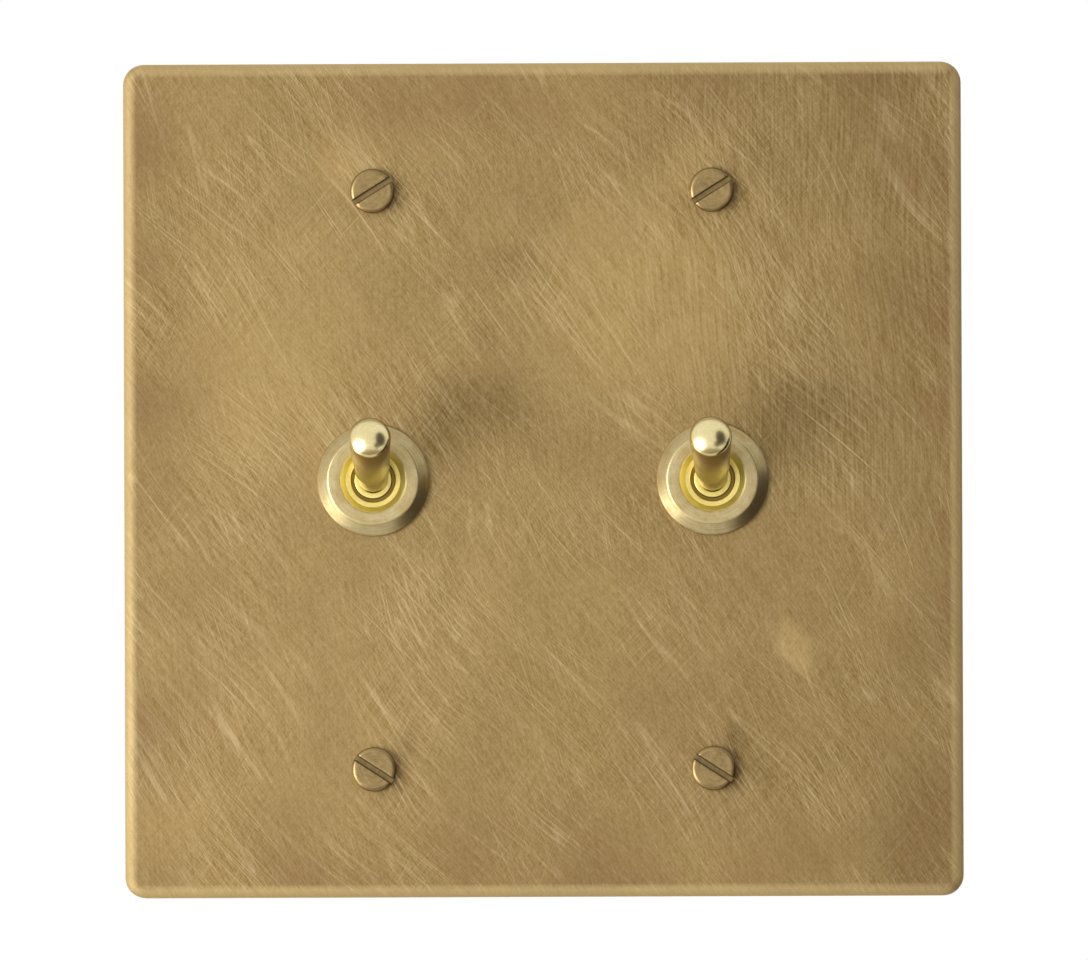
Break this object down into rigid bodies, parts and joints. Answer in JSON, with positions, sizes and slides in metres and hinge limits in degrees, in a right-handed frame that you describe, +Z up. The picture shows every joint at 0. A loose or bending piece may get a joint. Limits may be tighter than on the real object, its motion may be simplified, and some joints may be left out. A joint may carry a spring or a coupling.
{
  "type": "brass dolly switch",
  "caption": "Square brass wall plate with round-headed toggle dollies in bevelled rings, slotted fixing screws and enclosed rocker switch bodies behind.",
  "frame": {"origin": "centre of the plate's back face, in the wall plane, midway between the fixing screws", "axes": "+X to the right seen from the front, +Y into the wall along the fixing screws, +Z up"},
  "size_m": [0.121, 0.053, 0.1204],
  "materials": {
    "plate_brass": "aged satin brass, finely scratched",
    "screw_brass": "turned brass, dulled",
    "ring_brass": "satin turned brass",
    "bush_brass": "turned brass",
    "dolly_brass": "polished brass",
    "terminal_brass": "stamped brass",
    "plated_steel": "zinc plated",
    "spring_steel": "drawn steel wire",
    "contact_silver": "silver alloy",
    "phenolic": "moulded phenolic",
    "nylon": "moulded nylon"
  },
  "bodies": {
    "switch_body": {"front_plate": "plate_brass", "plate_screws": "screw_brass", "earth_tag": "terminal_brass", "earth_screw": "terminal_brass", "left_dress_ring": "ring_brass", "left_bush": "bush_brass", "left_lock_washer": "plated_steel", "left_back_nut": "bush_brass", "left_bracket": "plated_steel", "left_case": "phenolic", "left_common_terminal": "terminal_brass", "left_upper_terminal": "terminal_brass", "left_lower_terminal": "terminal_brass", "left_fixed_contacts": "contact_silver", "left_terminal_screws": "terminal_brass", "left_pivot_pin": "plated_steel", "right_dress_ring": "ring_brass", "right_bush": "bush_brass", "right_lock_washer": "plated_steel", "right_back_nut": "bush_brass", "right_bracket": "plated_steel", "right_case": "phenolic", "right_common_terminal": "terminal_brass", "right_upper_terminal": "terminal_brass", "right_lower_terminal": "terminal_brass", "right_fixed_contacts": "contact_silver", "right_terminal_screws": "terminal_brass", "right_pivot_pin": "plated_steel"},
    "left_dolly": {"left_dolly": "dolly_brass", "left_plunger_spring": "spring_steel"},
    "left_plunger": {"left_plunger": "nylon"},
    "left_rocker": {"left_rocker": "terminal_brass", "left_moving_contacts": "contact_silver"},
    "right_dolly": {"right_dolly": "dolly_brass", "right_plunger_spring": "spring_steel"},
    "right_plunger": {"right_plunger": "nylon"},
    "right_rocker": {"right_rocker": "terminal_brass", "right_moving_contacts": "contact_silver"}
  },
  "joints": [
    {"name": "left_dolly_hinge", "type": "hinge", "parent": "switch_body", "child": "left_dolly", "pos_m": [-0.0245, -0.0034, 0], "axis": [1, 0, 0], "range_deg": [0, 30]},
    {"name": "left_rocker_hinge", "type": "hinge", "parent": "switch_body", "child": "left_rocker", "pos_m": [-0.0245, 0.01205, 0], "axis": [1, 0, 0], "range_deg": [-18, 0]},
    {"name": "left_plunger_slide", "type": "slide", "parent": "left_dolly", "child": "left_plunger", "axis": [0, -0.9659, 0.2588], "range_m": [0, 0.001], "stiffness_N_per_m": 300, "springref_m": -0.002, "deforming": ["left_plunger_spring"]},
    {"name": "right_dolly_hinge", "type": "hinge", "parent": "switch_body", "child": "right_dolly", "pos_m": [0.0245, -0.0034, 0], "axis": [1, 0, 0], "range_deg": [0, 30]},
    {"name": "right_rocker_hinge", "type": "hinge", "parent": "switch_body", "child": "right_rocker", "pos_m": [0.0245, 0.01205, 0], "axis": [1, 0, 0], "range_deg": [-18, 0]},
    {"name": "right_plunger_slide", "type": "slide", "parent": "right_dolly", "child": "right_plunger", "axis": [0, -0.9659, 0.2588], "range_m": [0, 0.001], "stiffness_N_per_m": 300, "springref_m": -0.002, "deforming": ["right_plunger_spring"]}
  ],
  "couplings": [
    {"joint": "left_rocker_hinge", "follows": "left_dolly_hinge", "ratio": -0.6},
    {"joint": "right_rocker_hinge", "follows": "right_dolly_hinge", "ratio": -0.6}
  ]
}
